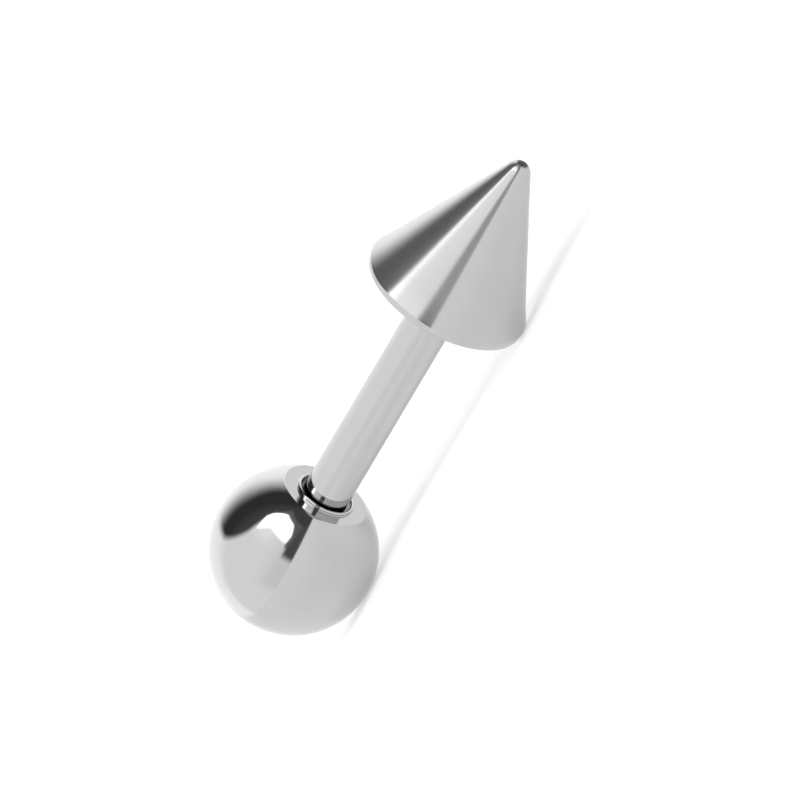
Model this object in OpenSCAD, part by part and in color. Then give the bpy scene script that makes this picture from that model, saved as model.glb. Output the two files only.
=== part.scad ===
// Straight barbell for a piercing: a polished steel bar with a ball screwed on one end and a spike on the other.
// It lies on its side along X with the ball at -X, resting on the ball and on the spike's rim.

/* [Bar] */
// Diameter of the bar, 16 gauge
bar_d = 1.12; // [1.1:0.01:1.3]
// Length worn, from the ball's flat to the spike's base
worn_length = 6.28; // [5:0.01:12]

/* [Ball] */
// Diameter of the ball
ball_d = 4.0; // [3.6:0.1:5]
// Distance from the ball's centre to the flat that faces the bar, as a share of its radius
flat_share = 0.85; // [0.8:0.01:0.9]

/* [Spike] */
// Diameter of the spike's base
spike_d = 4.0; // [3.6:0.1:5]
// Height of the spike from its base to its blunt tip
spike_h = 4.03; // [3.8:0.01:6]
// Radius of the blunt tip
tip_r = 0.31; // [0.15:0.01:0.5]
// Height of the narrow rim under the spike's sloping side
rim_h = 0.24; // [0.15:0.01:0.4]
// How far the rim narrows from its foot to its upper edge
rim_taper = 0.045; // [0.01:0.005:0.08]
// Radius of the rounded edge round the spike's base
base_edge_r = 0.06; // [0.02:0.01:0.1]

/* [Screwed ends] */
// Outer diameter of the thread at each end of the bar
thread_d = 1.1; // [1.06:0.01:1.2]
// Distance from one turn of the thread to the next
thread_pitch = 0.25; // [0.2:0.05:0.3]
// Length of each threaded end, measured from its shoulder
thread_length = 1.6; // [1.2:0.1:1.8]
// How far each shoulder of the bar stands inside its socket
shoulder_depth = 0.12; // [0.05:0.01:0.15]
// Depth of the plain recess at each socket's mouth
recess_depth = 0.35; // [0.3:0.01:0.5]
// Gap all round between the bar and the recess
recess_gap = 0.115; // [0.04:0.005:0.15]
// Width of the bevel round each mouth
mouth_bevel = 0.03; // [0.01:0.01:0.06]
// Gap all round between the threaded ends and their sockets
thread_play = 0.03; // [0.01:0.005:0.05]
// Depth left below each threaded end in its socket
socket_spare = 0.2; // [0.1:0.05:0.3]

/* [Hidden] */
$fn = 96;

steel = [0.78, 0.78, 0.79];

// A cut thread is 0.6134 of its pitch deep, and the screwed ends are drawn plain at the diameter that it leaves
core_d = thread_d - 2 * 0.6134 * thread_pitch;
end_chamfer = 0.1;

// Each socket: a recess with a bevelled mouth, then a hole that ends in the drill's point
recess_d = bar_d + 2 * recess_gap;
hole_d = core_d + 2 * thread_play;
hole_depth = shoulder_depth + thread_length + socket_spare;
drill_half_angle = 59;
// How far a cut runs past the face that it opens
overrun = 0.5;

ball_r = ball_d / 2;
flat_z = ball_r * flat_share;

// The spike's side is the tangent from the rim's upper edge to the blunt tip
spike_r = spike_d / 2;
rim_top_r = spike_r - rim_taper;
tip_z = spike_h - tip_r;
side_angle = atan2(rim_top_r, tip_z - rim_h) - asin(tip_r / norm([rim_top_r, tip_z - rim_h]));
tip_edge_r = tip_r * cos(side_angle);
tip_edge_z = tip_z + tip_r * sin(side_angle);

// Places along the barbell, with the middle of its whole length at X = 0
total_length = ball_r + flat_z + worn_length + spike_h;
flat_x = ball_r + flat_z - total_length / 2;
base_x = flat_x + worn_length;
axis_z = max(ball_r, spike_r);

// Small turn of each round piece about its own axis, so that it doesn't rest on the line where its surface closes
seam_turn = 4.05;

// Turns what stands along Z to lie along X at the height of the barbell's axis
module lie_at(x) {
    translate([x, 0, axis_z]) rotate([0, 90, 0]) rotate([0, 0, seam_turn]) children();
}

// The cut for a bar end that comes up from below into a piece whose face is at Z = 0
module socket_cut() {
    translate([0, 0, -overrun]) cylinder(d = recess_d, h = recess_depth + overrun);
    translate([0, 0, -mouth_bevel])
        cylinder(d1 = recess_d + 4 * mouth_bevel, d2 = recess_d, h = 2 * mouth_bevel);
    cylinder(d = hole_d, h = hole_depth);
    translate([0, 0, hole_depth])
        cylinder(r1 = hole_d / 2, r2 = 0, h = hole_d / 2 / tan(drill_half_angle));
}

// Half of the bar's outline from its middle to one end: shoulder, slope down to the core, chamfered end
function bar_half_outline(bar_r, core_r, shoulder_z, end_z) = [
    [bar_r, shoulder_z],
    [core_r, shoulder_z + bar_r - core_r],
    [core_r, end_z - end_chamfer],
    [core_r - end_chamfer, end_z],
    [0, end_z]
];

module bar() {
    shoulder_z = worn_length / 2 + shoulder_depth;
    half = bar_half_outline(bar_d / 2, core_d / 2, shoulder_z, shoulder_z + thread_length);
    other_half = [for (i = [len(half) - 1 : -1 : 0]) [half[i][0], -half[i][1]]];
    color(steel) lie_at(flat_x + worn_length / 2) rotate_extrude() polygon(concat(half, other_half));
}

module ball() {
    color(steel) lie_at(flat_x) rotate([180, 0, 0]) difference() {
        translate([0, 0, flat_z]) sphere(r = ball_r);
        translate([0, 0, -ball_r]) cylinder(r = ball_r, h = ball_r);
        socket_cut();
    }
}

// Half of the spike's outline, standing on its base
module spike_outline() {
    polygon([
        [0, 0],
        [spike_r - base_edge_r, 0],
        [spike_r - base_edge_r, base_edge_r],
        [spike_r, base_edge_r],
        [rim_top_r, rim_h],
        [tip_edge_r, tip_edge_z],
        [0, tip_edge_z]
    ]);
    intersection() {
        translate([spike_r - base_edge_r, base_edge_r]) circle(r = base_edge_r);
        translate([spike_r - base_edge_r, 0]) square(base_edge_r);
    }
    intersection() {
        translate([0, tip_z]) circle(r = tip_r);
        translate([0, tip_edge_z]) square(tip_r);
    }
}

module spike() {
    color(steel) lie_at(base_x) difference() {
        rotate_extrude() spike_outline();
        socket_cut();
    }
}

bar();
ball();
spike();
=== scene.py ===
# Straight barbell in polished steel: the bar, the ball and the spike on a pale floor in soft studio light
import math

import bpy
from mathutils import Matrix, Vector


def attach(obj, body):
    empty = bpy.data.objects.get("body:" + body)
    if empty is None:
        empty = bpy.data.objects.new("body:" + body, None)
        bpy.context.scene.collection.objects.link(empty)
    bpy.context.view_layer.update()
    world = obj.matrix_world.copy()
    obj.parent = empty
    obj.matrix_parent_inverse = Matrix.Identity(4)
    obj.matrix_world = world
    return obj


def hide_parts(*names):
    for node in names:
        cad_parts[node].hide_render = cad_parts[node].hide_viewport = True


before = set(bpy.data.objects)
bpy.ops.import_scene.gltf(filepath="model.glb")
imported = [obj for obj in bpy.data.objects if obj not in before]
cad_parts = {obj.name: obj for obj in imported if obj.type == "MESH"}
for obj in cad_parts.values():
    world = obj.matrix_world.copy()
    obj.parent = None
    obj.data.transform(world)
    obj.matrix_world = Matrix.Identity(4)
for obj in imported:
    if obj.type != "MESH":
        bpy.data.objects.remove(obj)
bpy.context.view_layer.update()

MM = 0.001

# Sizes in millimetres, the same as in the solids
BAR_R = 0.56
WORN = 6.28
BALL_R = 2.0
BALL_TO_FLAT = 1.7
SPIKE_H = 4.03
TIP_R = 0.31
RIM_H = 0.24
RIM_TOP_R = 1.955
BASE_EDGE_R = 0.06
THREAD_R = 0.55
PITCH = 0.25
DEPTH_TO_PITCH = 0.6134
THREAD_DEPTH = DEPTH_TO_PITCH * PITCH
CORE_R = THREAD_R - THREAD_DEPTH
THREAD_LENGTH = 1.6
SHOULDER = 0.12
END_CHAMFER = 0.1
RECESS_R = 0.675
RECESS_DEPTH = 0.35
MOUTH_BEVEL = 0.03
PLAY = 0.03
SOCKET_SPARE = 0.2
HOLE_DEPTH = SHOULDER + THREAD_LENGTH + SOCKET_SPARE
DRILL_HALF_ANGLE = 59

# Places along the barbell
FLAT_X = BALL_R + BALL_TO_FLAT - (BALL_R + BALL_TO_FLAT + WORN + SPIKE_H) / 2
BASE_X = FLAT_X + WORN
MIDDLE_X = FLAT_X + WORN / 2
AXIS_Z = 2.0

# Finer than in the solids: soft edges, the raised lip of the ball's mouth and the flare over the spike's rim
BALL_EDGE_R = 0.05
LIP_R = 0.036
LIP_PLACE = 0.682
LIP_RISE = 0.04
LIP_FOOT_R = 0.012
RIM_R = 1.999
RIM_EDGE_R = 0.09
FLARE_H = 0.5
FLARE_OUT = 0.02
SHOULDER_EDGE = 0.015

# The screw threads: the gaps at their two ends, and how much steeper a flank is than one with a sharp crest
THREAD_START_GAP = 0.01
THREAD_BOTTOM_GAP = 0.1
FLANK_SLOPE = 1.25

# Fineness of the meshes: points round a piece, rows to a turn of thread and rows of the three long runs
AROUND = 320
ROWS_A_TURN = 20
BALL_ROWS = 140
SIDE_ROWS = 110
WALL_ROWS = 24

# Points closer than this are one point, and the spike's side starts this far over the edge below it
SAME_POINT = 1e-5
SIDE_GAP = 0.005

# In degrees: where the outlines of the ball and the tip end beside their poles, and the least sharp edge
BALL_POLE = 179.2
TIP_POLE = 2
SHARP_FROM = 28


# Outlines: points (z, r), with z along the piece's own axis and r out from it

def arc(z, r, radius, start, end, steps):
    """Points on an arc round (z, r). Angles are in degrees, from +z towards +r."""
    turns = [math.radians(start + (end - start) * i / steps) for i in range(steps + 1)]
    return [(z + radius * math.cos(t), r + radius * math.sin(t)) for t in turns]


def line(start, end, steps=1):
    return [tuple(a + (b - a) * i / steps for a, b in zip(start, end)) for i in range(steps + 1)]


def joined(*runs):
    """One run of points from several, without those that repeat."""
    points = []
    for run in runs:
        for point in run:
            if not points or math.dist(point, points[-1]) > SAME_POINT:
                points.append(point)
    return points


# Lathed pieces

def flank(z, turn):
    """Height of the screw thread at a place, from 0 at its root to 1 at its crest."""
    rise = 1 - abs(2 * ((z / PITCH - turn) % 1) - 1)
    return min(1.0, max(0.0, FLANK_SLOPE * rise - (FLANK_SLOPE - 1) / 2))


def lathe(name, rows, start_z, end_z, place_x):
    """A closed mesh turned about its own Z axis, laid along the barbell at place_x.

    rows holds (z, r, depth): depth is how far the screw thread moves the radius out.
    The two ends close at start_z and end_z."""
    verts, faces = [], []
    for z, r, depth in rows:
        for j in range(AROUND):
            turn = j / AROUND
            radius = r + (depth * flank(z + place_x, turn) if depth else 0)
            angle = 2 * math.pi * turn
            verts.append((radius * math.cos(angle) * MM, radius * math.sin(angle) * MM, z * MM))
    for i in range(len(rows) - 1):
        for j in range(AROUND):
            k = (j + 1) % AROUND
            a, b = i * AROUND, (i + 1) * AROUND
            faces.append((a + j, a + k, b + k, b + j))
    last = (len(rows) - 1) * AROUND
    start, end = len(verts), len(verts) + 1
    verts += [(0, 0, start_z * MM), (0, 0, end_z * MM)]
    for j in range(AROUND):
        k = (j + 1) % AROUND
        faces.append((k, j, start))
        faces.append((last + j, last + k, end))
    mesh = bpy.data.meshes.new(name)
    mesh.from_pydata(verts, [], faces)
    mesh.polygons.foreach_set("use_smooth", [True] * len(mesh.polygons))
    mesh.update()
    mesh.set_sharp_from_angle(angle=math.radians(SHARP_FROM))
    piece = bpy.data.objects.new(name, mesh)
    bpy.context.scene.collection.objects.link(piece)
    lie = Matrix.Rotation(math.pi / 2, 4, "Y")
    piece.matrix_world = Matrix.Translation((place_x * MM, 0, AXIS_Z * MM)) @ lie
    return piece


def plain(points):
    """Rows without a thread."""
    return [(z, r, 0) for z, r in points]


def turned_over(rows):
    """The same rows, for the piece or half that points the other way."""
    return [(-z, r, depth) for z, r, depth in reversed(rows)]


def threaded(z_from, z_to, r, fade_in, fade_out):
    """Rows of a screw thread between two places, growing from and fading into radius r."""
    steps = round(abs(z_to - z_from) / PITCH * ROWS_A_TURN)
    rows = []
    for i in range(steps + 1):
        z = z_from + (z_to - z_from) * i / steps
        begun = abs(z - z_from) / fade_in if fade_in else 1
        left = abs(z_to - z) / fade_out if fade_out else 1
        rows.append((z, r, THREAD_DEPTH * min(1, begun, left)))
    return rows


def socket_rows(mouth):
    """From a mouth's outline in the plane z = 0 down its hole, for a solid that lies at z < 0."""
    hole_r = CORE_R + PLAY
    recess_r = mouth[-1][1]
    recess = joined(
        mouth,
        line(mouth[-1], (-RECESS_DEPTH, recess_r), steps=5),
        line((-RECESS_DEPTH, recess_r), (-RECESS_DEPTH, THREAD_R + PLAY)),
    )
    thread = threaded(-RECESS_DEPTH - THREAD_START_GAP, -HOLE_DEPTH + THREAD_BOTTOM_GAP, hole_r, 0, PITCH)
    return plain(recess) + thread + plain([(-HOLE_DEPTH, hole_r)])


def drill_point():
    """Where the drill's point ends, below the bottom of the hole."""
    return -HOLE_DEPTH - (CORE_R + PLAY) / math.tan(math.radians(DRILL_HALF_ANGLE))


def make_ball():
    edge_angle = math.degrees(math.acos((BALL_TO_FLAT - BALL_EDGE_R) / (BALL_R - BALL_EDGE_R)))
    edge_r = (BALL_R - BALL_EDGE_R) * math.sin(math.radians(edge_angle))
    outside = joined(
        arc(-BALL_TO_FLAT, 0, BALL_R, BALL_POLE, edge_angle, BALL_ROWS),
        arc(-BALL_EDGE_R, edge_r, BALL_EDGE_R, edge_angle, 0, steps=8),
        line((0, edge_r), (0, LIP_PLACE + LIP_R + 2 * LIP_FOOT_R), steps=4),
        arc(LIP_FOOT_R, LIP_PLACE + LIP_R + LIP_FOOT_R, LIP_FOOT_R, 180, 270, steps=6),
    )
    lip = arc(LIP_RISE, LIP_PLACE, LIP_R, 90, -90, steps=16)
    rows = plain(outside) + socket_rows(lip)
    return lathe("ball_shell", rows, -BALL_TO_FLAT - BALL_R, drill_point(), FLAT_X)


def make_spike():
    """The spike. Its straight side is the tangent to the blunt tip, and flares and bends over to the rim."""
    foot_r = RIM_TOP_R - FLARE_OUT
    tip_z = SPIKE_H - TIP_R
    reach = math.hypot(foot_r, tip_z - RIM_H)
    lean = math.atan2(foot_r, tip_z - RIM_H) - math.asin(TIP_R / reach)
    top = (tip_z + TIP_R * math.sin(lean), TIP_R * math.cos(lean))
    flare_lean = lean + 2 * FLARE_OUT / FLARE_H
    corner_z = RIM_H - (RIM_R - RIM_TOP_R) / math.tan(flare_lean)
    edge_z = corner_z - RIM_EDGE_R * math.tan(flare_lean / 2)
    edge = arc(edge_z, RIM_R - RIM_EDGE_R, RIM_EDGE_R, 90, 90 - math.degrees(flare_lean), steps=12)
    side = []
    for z, r in line((RIM_H, foot_r), top, SIDE_ROWS):
        if z > edge[-1][0] + SIDE_GAP:
            side.append((z, r + FLARE_OUT * max(0, 1 - (z - RIM_H) / FLARE_H) ** 2))
    outside = joined(
        line((0, RECESS_R + 2 * MOUTH_BEVEL), (0, RIM_R - BASE_EDGE_R), steps=4),
        arc(BASE_EDGE_R, RIM_R - BASE_EDGE_R, BASE_EDGE_R, 180, 90, steps=10),
        line((BASE_EDGE_R, RIM_R), edge[0], steps=5),
        edge,
        side,
        arc(tip_z, 0, TIP_R, 90 - math.degrees(lean), TIP_POLE, steps=30),
    )
    bevel = line((0, RECESS_R + MOUTH_BEVEL), (-MOUTH_BEVEL, RECESS_R), steps=2)
    rows = turned_over(socket_rows(bevel)) + plain(outside)
    return lathe("spike_shell", rows, -drill_point(), SPIKE_H, BASE_X)


def make_bar():
    wall_end = WORN / 2 + SHOULDER
    slope_end = wall_end + BAR_R - CORE_R
    end = wall_end + THREAD_LENGTH
    wall = line((0, BAR_R), (wall_end - SHOULDER_EDGE, BAR_R), WALL_ROWS)[1:]
    slope = line((wall_end + SHOULDER_EDGE / 2, BAR_R - SHOULDER_EDGE / 2), (slope_end, CORE_R), steps=3)
    thread = threaded(slope_end + THREAD_START_GAP, end - END_CHAMFER, CORE_R, PITCH / 2, 0)
    half = plain(wall + slope) + thread + plain([(end, CORE_R - END_CHAMFER)])
    return lathe("bar_shaft", turned_over(half) + half, -end, end, MIDDLE_X)


# Node trees

class Value:
    """A number in a node tree, on which plain sums can be written."""

    def __init__(self, shop, socket):
        self.shop, self.socket = shop, socket

    def __add__(self, other):
        return self.shop.sum("ADD", self, other)

    def __sub__(self, other):
        return self.shop.sum("SUBTRACT", self, other)

    def __rsub__(self, other):
        return self.shop.sum("SUBTRACT", other, self)

    def __mul__(self, other):
        return self.shop.sum("MULTIPLY", self, other)

    def __truediv__(self, other):
        return self.shop.sum("DIVIDE", self, other)

    __radd__ = __add__
    __rmul__ = __mul__


class Shop:
    """Adds nodes to one node tree."""

    def __init__(self, tree):
        self.tree = tree
        tree.nodes.clear()

    def node(self, kind, settings=None, sockets=None):
        """A new node: its settings first, then the values or links of its sockets, by name or number."""
        made = self.tree.nodes.new(kind)
        for name, value in (settings or {}).items():
            setattr(made, name, value)
        for name, value in (sockets or {}).items():
            self.feed(made.inputs[name], value)
        return made

    def feed(self, socket, value):
        if isinstance(value, Value):
            value = value.socket
        if isinstance(value, bpy.types.NodeSocket):
            self.tree.links.new(value, socket)
        else:
            socket.default_value = value

    def value(self, node, output=0):
        return Value(self, node.outputs[output])

    def sum(self, operation, *terms):
        return self.value(self.node("ShaderNodeMath", {"operation": operation}, dict(enumerate(terms))))

    def split(self, vector):
        """The three numbers of a vector."""
        parts = self.node("ShaderNodeSeparateXYZ", None, {0: vector})
        return [self.value(parts, i) for i in range(3)]

    def positive(self, value):
        """The value where it's above 0, and 0 elsewhere."""
        return self.sum("MAXIMUM", value, 0.0)

    def most(self, found, *others):
        """The largest of several values."""
        for other in others:
            found = self.sum("MAXIMUM", found, other)
        return found

    def smooth(self, value, low, high):
        """0 below low, 1 above high and a soft step between them."""
        return self.value(self.node(
            "ShaderNodeMapRange", {"interpolation_type": "SMOOTHSTEP"},
            {"Value": value, "From Min": low, "From Max": high}))

    def window(self, value, low, high, soft_low, soft_high):
        """1 between low and high, with a soft step at each that reaches as far to either side of it."""
        rising = self.smooth(value, low - soft_low, low + soft_low)
        return rising * (1 - self.smooth(value, high - soft_high, high + soft_high))

    def colours(self, amount, low, high):
        mix = self.node("ShaderNodeMix", {"data_type": "RGBA"}, {0: amount, 6: low, 7: high})
        return mix.outputs[2]

    def noise(self, vector, scale, detail=2.0, roughness=0.5):
        return self.value(self.node(
            "ShaderNodeTexNoise", None,
            {"Vector": vector, "Scale": scale, "Detail": detail, "Roughness": roughness}))


# The studio's light, in degrees. Its places and outlines were fitted to the reflections in the photo
# A STEP is where a soft step starts and ends, and a WINDOW has two ends and how soft each of them is

# Open light: even on the camera's side, lighter over the top and at the back, darker low at the back
OPEN_LIGHT = 1.0
SIDE_STEP = (2, 30)
BALL_END_STEP = (-42, -22)
SIDE_LIFT = 0.18
TOP_STEP = (82, 112)
TOP_LIFT = 0.23
BACK_STEP = (134, 152)
BACK_RISE_STEP = (-15, 8)
BACK_LIFT = 0.09
LOW_BACK_STEP = (158, 176)
LOW_BACK_DROP = 0.15


def open_light(shop, rise, around):
    """The light from each direction, where nothing dark stands and no lamp shines."""
    ball_end = 1 - shop.smooth(rise, *BALL_END_STEP)
    light = OPEN_LIGHT + shop.most(shop.smooth(around, *SIDE_STEP), ball_end) * SIDE_LIFT
    light = light + shop.smooth(around, *TOP_STEP) * TOP_LIFT
    light = light + shop.smooth(around, *BACK_STEP) * shop.smooth(rise, *BACK_RISE_STEP) * BACK_LIFT
    return light - shop.smooth(around, *LOW_BACK_STEP) * LOW_BACK_DROP


# The dark gap over the top: its near and lower sides meet in a round corner, its far side fades and slants
GAP_NEAR = 100
GAP_NEAR_WIDTH = 32.8
GAP_LOW = 8
GAP_LOW_WIDTH = 35.3
GAP_ROUNDING = 1.6
GAP_EDGE_STEP = (0.8, 1.2)
GAP_FAR_STEP = (103, 144)
GAP_SLANT_FROM = 12
GAP_SLANT = 0.32

# The dark room beyond the spike's end, which comes lower at the back
ROOM_RISE_STEP = (57, 65)
ROOM_STEP = (-8, -1)
ROOM_BACK_STEP = (115, 140)
ROOM_BACK_DROP = 17

# The dark brow over the softbox, which comes lower beside it on the camera's side
BROW_RISE_STEP = (19, 29)
BROW_LIFT_STEP = (10, 22)
BROW_LIFT = 16
BROW_WINDOW = (-4.5, 84, 3.5, 4)
BROW_DARK = 0.92

# The dark lens, with its shade below
LENS_RISE_STEP = (9, 21)
LENS_WINDOW = (-7, 10.5, 2, 3)
LENS_DARK = 0.97


def dark_areas(shop, rise, around):
    """How dark each direction is, from 0 in the open light to 1."""
    near = shop.positive((GAP_NEAR - around) / GAP_NEAR_WIDTH)
    below = shop.positive((GAP_LOW - rise) / GAP_LOW_WIDTH)
    corner = shop.sum("POWER", near, GAP_ROUNDING) + shop.sum("POWER", below, GAP_ROUNDING)
    far_side = around - shop.positive(rise - GAP_SLANT_FROM) * GAP_SLANT
    gap = (1 - shop.smooth(corner, *GAP_EDGE_STEP)) * (1 - shop.smooth(far_side, *GAP_FAR_STEP))
    room_rise = rise + shop.smooth(around, *ROOM_BACK_STEP) * ROOM_BACK_DROP
    room = shop.smooth(room_rise, *ROOM_RISE_STEP) * shop.smooth(around, *ROOM_STEP)
    brow_rise = rise - shop.smooth(around, *BROW_LIFT_STEP) * BROW_LIFT
    brow = shop.smooth(brow_rise, *BROW_RISE_STEP) * shop.window(around, *BROW_WINDOW) * BROW_DARK
    lens = shop.window(around, *LENS_WINDOW) * shop.smooth(rise, *LENS_RISE_STEP) * LENS_DARK
    return shop.most(gap, room, brow, lens)


# The softbox: rounded off above, straight below, slanting down at its left end and in low on its left side
BOX_TOP = 57.5
BOX_TOP_RIGHT = 34
BOX_RIGHT_CURVE = 0.037
BOX_TOP_LEFT = 56
BOX_LEFT_CURVE = 0.066
BOX_BOTTOM = 31.5
BOX_BOTTOM_LEFT = 50
BOX_BOTTOM_SLANT = 1.2
BOX_LEFT = 71.0
BOX_LEFT_LOW = 32
BOX_LEFT_SLANT = 0.5
BOX_RIGHT_STEP = (13, 18)
BOX_SOFT = 1.5
BOX_BOTTOM_SOFT = 3


def softbox(shop, rise, around):
    """1 inside the softbox and 0 outside it, as seen along each direction."""
    right_drop = shop.positive(BOX_TOP_RIGHT - around)
    left_drop = shop.positive(around - BOX_TOP_LEFT)
    top = BOX_TOP - right_drop * right_drop * BOX_RIGHT_CURVE - left_drop * left_drop * BOX_LEFT_CURVE
    bottom = BOX_BOTTOM - shop.positive(around - BOX_BOTTOM_LEFT) * BOX_BOTTOM_SLANT
    left = BOX_LEFT - shop.positive(BOX_LEFT_LOW - rise) * BOX_LEFT_SLANT
    upright = shop.smooth(top - rise, -BOX_SOFT, BOX_SOFT)
    upright = upright * shop.smooth(rise - bottom, -BOX_BOTTOM_SOFT, BOX_BOTTOM_SOFT)
    return upright * shop.smooth(left - around, -BOX_SOFT, BOX_SOFT) * shop.smooth(around, *BOX_RIGHT_STEP)


# How light the dark areas are on the camera's side and at the back
DARK_NEAR = 0.08
DARK_BACK = 0.045
DARK_STEP = (76, 94)

# How light the softbox is, brighter at its left end, with a faint halo below it
BOX_LIGHT = 2.5
BOX_LIGHT_STEP = (52, 64)
BOX_LIGHT_LIFT = 1.7
HALO_WINDOW = (38, 66, 10, 3)
HALO_RISE_STEP = (2, 22)
HALO_LIFT = 0.18

# How far the camera's side leans over the floor, about the bar
SIDE_LEAN = 6.0


def studio_light():
    """The light round the barbell, worked out from each direction.

    rise is the angle in degrees up towards the spike's tip, and around is the angle about the bar,
    from 0 on the camera's side over the top to 180 at the back."""
    world = bpy.data.worlds.new("studio")
    world.use_nodes = True
    shop = Shop(world.node_tree)
    along, back, up = shop.split(shop.node("ShaderNodeTexCoord").outputs["Generated"])
    lean = math.radians(SIDE_LEAN)
    front = up * math.sin(lean) - back * math.cos(lean)
    over = back * math.sin(lean) + up * math.cos(lean)
    rise = shop.sum("ARCSINE", along) * math.degrees(1)
    around = shop.sum("ARCTAN2", over, front) * math.degrees(1)
    dark = dark_areas(shop, rise, around)
    dark_light = DARK_NEAR + shop.smooth(around, *DARK_STEP) * (DARK_BACK - DARK_NEAR)
    light = open_light(shop, rise, around) * (1 - dark) + dark * dark_light
    halo = shop.window(around, *HALO_WINDOW) * shop.smooth(rise, *HALO_RISE_STEP) * (1 - dark) * HALO_LIFT
    box = softbox(shop, rise, around)
    box_light = BOX_LIGHT + shop.smooth(around, *BOX_LIGHT_STEP) * BOX_LIGHT_LIFT
    light = (light + halo) * (1 - box) + box * box_light
    background = shop.node("ShaderNodeBackground", None, {"Color": (1, 1, 1, 1), "Strength": light})
    shop.node("ShaderNodeOutputWorld", None, {"Surface": background.outputs[0]})
    bpy.context.scene.world = world


# The floor: half its width in millimetres, its even glow, and the faint grain of its paper
FLOOR_HALF = 600
FLOOR_GLOW = 0.42
PAPER_DARK = (0.72, 0.72, 0.72, 1)
PAPER_LIGHT = (0.76, 0.76, 0.76, 1)
PAPER_GRAIN = 900


def make_floor():
    """A plain pale paper floor with an even glow, which keeps it white."""
    half = FLOOR_HALF * MM
    corners = [(-half, -half, 0), (half, -half, 0), (half, half, 0), (-half, half, 0)]
    mesh = bpy.data.meshes.new("floor")
    mesh.from_pydata(corners, [], [(0, 1, 2, 3)])
    floor = bpy.data.objects.new("floor", mesh)
    bpy.context.scene.collection.objects.link(floor)
    material = bpy.data.materials.new("pale_paper")
    material.use_nodes = True
    shop = Shop(material.node_tree)
    place = shop.node("ShaderNodeTexCoord").outputs["Object"]
    grain = shop.noise(place, PAPER_GRAIN, detail=3)
    paper = shop.node("ShaderNodeBsdfPrincipled", None, {
        "Base Color": shop.colours(grain, PAPER_DARK, PAPER_LIGHT),
        "Roughness": 0.9,
        "Specular IOR Level": 0.1,
        "Emission Color": (1, 1, 1, 1),
        "Emission Strength": FLOOR_GLOW,
    })
    shop.node("ShaderNodeOutputMaterial", None, {"Surface": paper.outputs[0]})
    mesh.materials.append(material)


# Finishes
STEEL = (0.54, 0.54, 0.545, 1)
WORN_STEEL = (0.50, 0.50, 0.505, 1)
# A painted dark reflection: near black, for the centre of the spike's tip
PAINTED_DARK_TIP = (0.09, 0.09, 0.092, 1)

# Fineness of the marks on the steel, and how far each one goes in its colour and in its roughness
RING_SCALE = 26000
BAND_SCALE = 3500
WAVE_SCALE = 1100
HAZE_SCALE = 2400
FINE = 0.6
HAZE_WEAR = 0.5
BAND_WEAR = 0.4
HAIR_WEAR = 0.1
HAZE_ROUGH = 0.04
BAND_ROUGH = 0.03
HAIR_ROUGH = 0.01

# Hairlines: two directions as turns in radians, how thin they are drawn out and how few of them show
HAIR_TURNS = ((0.5, 0.3, 0.9), (1.4, 2.1, 0.2))
HAIR_SCALE = (400, 400, 16000)
HAIR_STEP = (0.68, 0.76)

# The rings of the turning run round the axis, a quarter turn from the surface's own direction
RING_TURN = 0.25

# On the spike: where the polished rim ends, and the centre of the tip, rougher and painted dark as a painted
# reflection, by its height and its distance out
RIM_STEP = (0.17 * MM, 0.22 * MM)
RIM_ROUGH = 0.09
CENTRE_RISE_STEP = (3.8 * MM, 3.9 * MM)
CENTRE_STEP = (0.1 * MM, 0.18 * MM)
CENTRE_ROUGH = 0.2


def hairlines(shop, place):
    """Fine scratches from handling, in two directions."""
    hairs = 0.0
    for turn in HAIR_TURNS:
        turned_place = shop.node("ShaderNodeMapping", None, {"Vector": place, "Rotation": turn}).outputs[0]
        drawn_out = shop.node("ShaderNodeMapping", None, {"Vector": turned_place, "Scale": HAIR_SCALE})
        hairs = hairs + shop.smooth(shop.noise(drawn_out.outputs[0], 1.0, detail=1), *HAIR_STEP)
    return hairs


def steel(name, roughness, ring_tilt, waves, stretch=0.0, metallic=1.0, edge=1.0, spike=False):
    """Polished steel, with rings left by turning, faint waves, and haze and hairlines from handling.

    On the spike the rim is polished more than the side, and the very centre of the tip is rougher and painted
    dark, a painted dark reflection."""
    material = bpy.data.materials.new(name)
    material.use_nodes = True
    shop = Shop(material.node_tree)
    place = shop.node("ShaderNodeTexCoord").outputs["Object"]
    x, y, z = shop.split(place)
    out = shop.sum("SQRT", x * x + y * y)
    ring_place = shop.node("ShaderNodeCombineXYZ", None, {0: out, 1: z, 2: 0.0}).outputs[0]
    rings = shop.noise(ring_place, RING_SCALE, detail=3, roughness=FINE)
    bands = shop.noise(ring_place, BAND_SCALE)
    wave = shop.noise(place, WAVE_SCALE, detail=1)
    haze = shop.noise(place, HAZE_SCALE, detail=4, roughness=FINE)
    hairs = hairlines(shop, place)
    colour = shop.colours(haze * HAZE_WEAR + bands * BAND_WEAR + hairs * HAIR_WEAR, STEEL, WORN_STEEL)
    rough = roughness + (haze - 0.5) * HAZE_ROUGH + (bands - 0.5) * BAND_ROUGH + hairs * HAIR_ROUGH
    if spike:
        side = shop.smooth(z, *RIM_STEP)
        rough = rough * side + (haze * HAZE_ROUGH + RIM_ROUGH) * (1 - side)
        centre = (1 - shop.smooth(out, *CENTRE_STEP)) * shop.smooth(z, *CENTRE_RISE_STEP)
        rough = rough + centre * CENTRE_ROUGH
        # Painted dark reflection: the centre of the tip is coloured near black
        colour = shop.colours(centre, colour, PAINTED_DARK_TIP)
    height = rings * ring_tilt + wave * waves
    bump = shop.node("ShaderNodeBump", None, {"Strength": 1.0, "Distance": 1.0, "Height": height})
    metal = shop.node("ShaderNodeBsdfPrincipled", None, {
        "Base Color": colour,
        "Metallic": metallic,
        "Roughness": rough,
        "Normal": bump.outputs[0],
        "Specular Tint": (edge, edge, edge, 1),
        "Anisotropic": stretch,
        "Anisotropic Rotation": RING_TURN,
    })
    shop.node("ShaderNodeOutputMaterial", None, {"Surface": metal.outputs[0]})
    return material


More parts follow.
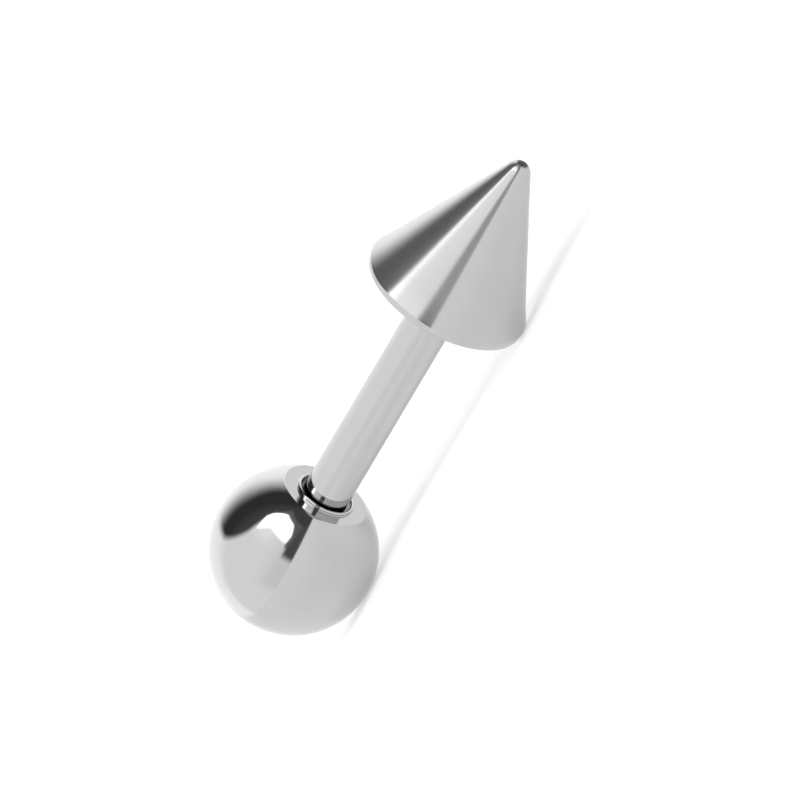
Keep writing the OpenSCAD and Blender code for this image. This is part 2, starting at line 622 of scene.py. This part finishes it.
# The photo's view: angles in degrees, the camera's distance and the ball's place in view in millimetres
CAMERA_RISE = 30.13
CAMERA_ROLL = 59.26
CAMERA_AWAY = 500.0
BALL_IN_VIEW = (-2.4803, -3.4841)
PIXELS_PER_MM = 43.031
IMAGE = 800
SENSOR = 36.0
# How near and how far the camera sees, in metres
CLIP = (0.01, 5.0)


def make_camera():
    """The photo's view: far off, on a line that rises from bar to tip and leans a little over the floor."""
    rise, roll, lean = (math.radians(angle) for angle in (CAMERA_RISE, CAMERA_ROLL, SIDE_LEAN))
    # The world's three axes as the camera sees them, which make up the turn from its view to the world
    along = Vector((math.cos(rise) * math.cos(roll), math.cos(rise) * math.sin(roll), math.sin(rise)))
    near = Vector((-math.sin(rise) * math.cos(roll), -math.sin(rise) * math.sin(roll), math.cos(rise)))
    aside = near.cross(along)
    up = near * math.sin(lean) + aside * math.cos(lean)
    to_world = Matrix((along, up.cross(along), up))
    ball = Vector((FLAT_X - BALL_TO_FLAT, 0, AXIS_Z))
    spot = ball - to_world @ Vector((*BALL_IN_VIEW, -CAMERA_AWAY))
    data = bpy.data.cameras.new("camera")
    data.sensor_width = SENSOR
    data.lens = PIXELS_PER_MM * CAMERA_AWAY / IMAGE * SENSOR
    data.clip_start, data.clip_end = CLIP
    camera = bpy.data.objects.new("camera", data)
    bpy.context.scene.collection.objects.link(camera)
    camera.matrix_world = Matrix.Translation(spot * MM) @ to_world.to_4x4()
    bpy.context.scene.camera = camera


make_camera()
studio_light()
make_floor()
bpy.context.scene.view_settings.view_transform = "Standard"

polished = steel("polished_steel", roughness=0.07, ring_tilt=1e-8, waves=2e-6)
drawn = steel("drawn_steel", roughness=0.1, ring_tilt=5e-8, waves=1.5e-6, edge=0.85)
turned = steel(
    "turned_steel", roughness=0.22, ring_tilt=2.5e-7, waves=1.5e-6, stretch=1.0, metallic=0.85, spike=True)

for piece, node, material in (
    (make_bar(), "bar", drawn),
    (make_ball(), "ball", polished),
    (make_spike(), "spike", turned),
):
    piece.data.materials.append(material)
    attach(piece, node)
    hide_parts(node)
